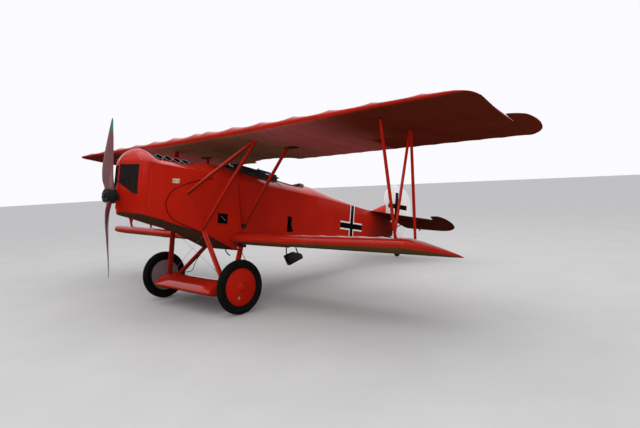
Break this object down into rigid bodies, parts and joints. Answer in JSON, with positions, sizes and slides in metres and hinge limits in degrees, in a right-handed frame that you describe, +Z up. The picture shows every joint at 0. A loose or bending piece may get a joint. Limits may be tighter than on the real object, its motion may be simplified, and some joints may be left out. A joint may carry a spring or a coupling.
{
  "type": "biplane",
  "caption": "Single-seat tractor biplane of about 1918 on its wheels and tail wheel, with a turning propeller, wheels, ailerons, elevator and rudder.",
  "frame": {"origin": "on the ground, at the middle of the bounding box's footprint", "axes": "+X to the machine's left wing tip, -Y to its nose, +Z up, parked with its tail down"},
  "size_m": [8.914, 7.0944, 2.6831],
  "materials": {
    "red_fabric": "glossy doped fabric",
    "red_metal": "glossy paint",
    "dark_red_fabric": "doped fabric",
    "white_fabric": "doped fabric",
    "black_metal": "blackened",
    "bare_metal": "bare",
    "tyre_rubber": "matt black",
    "laminated_wood": "varnished",
    "leather": "worn"
  },
  "bodies": {
    "airframe": {"nose_cowl": "red_metal", "radiator_core_left": "black_metal", "radiator_core_right": "black_metal", "engine_hood": "red_metal", "engine_panel_left": "red_metal", "engine_panel_right": "red_metal", "cockpit_wall_left": "red_fabric", "cockpit_wall_right": "red_fabric", "belly_front": "red_metal", "belly_rear": "red_fabric", "gun_deck": "red_metal", "cockpit_coaming": "red_fabric", "cockpit_rim": "leather", "rear_body": "red_fabric", "upper_wing": "red_fabric", "lower_wing": "red_fabric", "tailplane": "dark_red_fabric", "fin": "red_metal", "tail_brace_left": "red_metal", "tail_brace_right": "red_metal", "interplane_strut_left": "red_metal", "interplane_strut_right": "red_metal", "cabane_front_left": "red_metal", "cabane_front_right": "red_metal", "cabane_rear_left": "red_metal", "cabane_rear_right": "red_metal", "gear_legs_left": "red_metal", "gear_legs_right": "red_metal", "axle_wing": "red_metal", "axle": "black_metal", "tail_spring": "black_metal", "engine_block": "bare_metal", "engine_bearers": "bare_metal", "instrument_panel": "laminated_wood", "seat": "leather", "seat_frame": "bare_metal", "control_column": "bare_metal", "gun_left": "black_metal", "gun_right": "black_metal", "boarding_step": "black_metal"},
    "propeller": {"propeller": "laminated_wood"},
    "wheel_left": {"wheel_left": "red_metal", "tyre_left": "tyre_rubber"},
    "wheel_right": {"wheel_right": "red_metal", "tyre_right": "tyre_rubber"},
    "tail_swivel": {"tail_fork": "black_metal"},
    "tail_wheel": {"tail_wheel": "tyre_rubber"},
    "aileron_left": {"aileron_left": "red_fabric"},
    "aileron_right": {"aileron_right": "red_fabric"},
    "elevator": {"elevator": "dark_red_fabric"},
    "rudder": {"rudder": "white_fabric"}
  },
  "joints": [
    {"name": "propeller_spin", "type": "hinge", "parent": "airframe", "child": "propeller", "pos_m": [0, -3.36182, 1.66398], "axis": [0, 0.9844, -0.1761], "continuous": true},
    {"name": "wheel_left_spin", "type": "hinge", "parent": "airframe", "child": "wheel_left", "pos_m": [0.969, -2.14229, 0.366], "axis": [1, 0, 0], "continuous": true},
    {"name": "wheel_right_spin", "type": "hinge", "parent": "airframe", "child": "wheel_right", "pos_m": [-0.969, -2.14229, 0.366], "axis": [1, 0, 0], "continuous": true},
    {"name": "tail_wheel_swivel", "type": "hinge", "parent": "airframe", "child": "tail_swivel", "pos_m": [0, 2.90292, 0.31153], "axis": [0, 0.1761, 0.9844], "range_deg": [-30, 30]},
    {"name": "tail_wheel_spin", "type": "hinge", "parent": "tail_swivel", "child": "tail_wheel", "pos_m": [0, 2.94014, 0.12202], "axis": [1, 0, 0], "continuous": true},
    {"name": "aileron_left_hinge", "type": "hinge", "parent": "airframe", "child": "aileron_left", "pos_m": [3.2, -0.95299, 2.23887], "axis": [1, 0, 0], "range_deg": [-20, 20]},
    {"name": "aileron_right_hinge", "type": "hinge", "parent": "airframe", "child": "aileron_right", "pos_m": [-3.2, -0.95299, 2.23887], "axis": [1, 0, 0], "range_deg": [-20, 20]},
    {"name": "elevator_hinge", "type": "hinge", "parent": "airframe", "child": "elevator", "pos_m": [0, 2.68568, 0.82925], "axis": [1, 0, 0], "range_deg": [-6, 44]},
    {"name": "rudder_hinge", "type": "hinge", "parent": "airframe", "child": "rudder", "pos_m": [0, 2.83167, 0.75946], "axis": [0, 0.1761, 0.9844], "range_deg": [-30, 30]}
  ],
  "couplings": [
    {"joint": "aileron_right_hinge", "follows": "aileron_left_hinge", "ratio": -1}
  ]
}
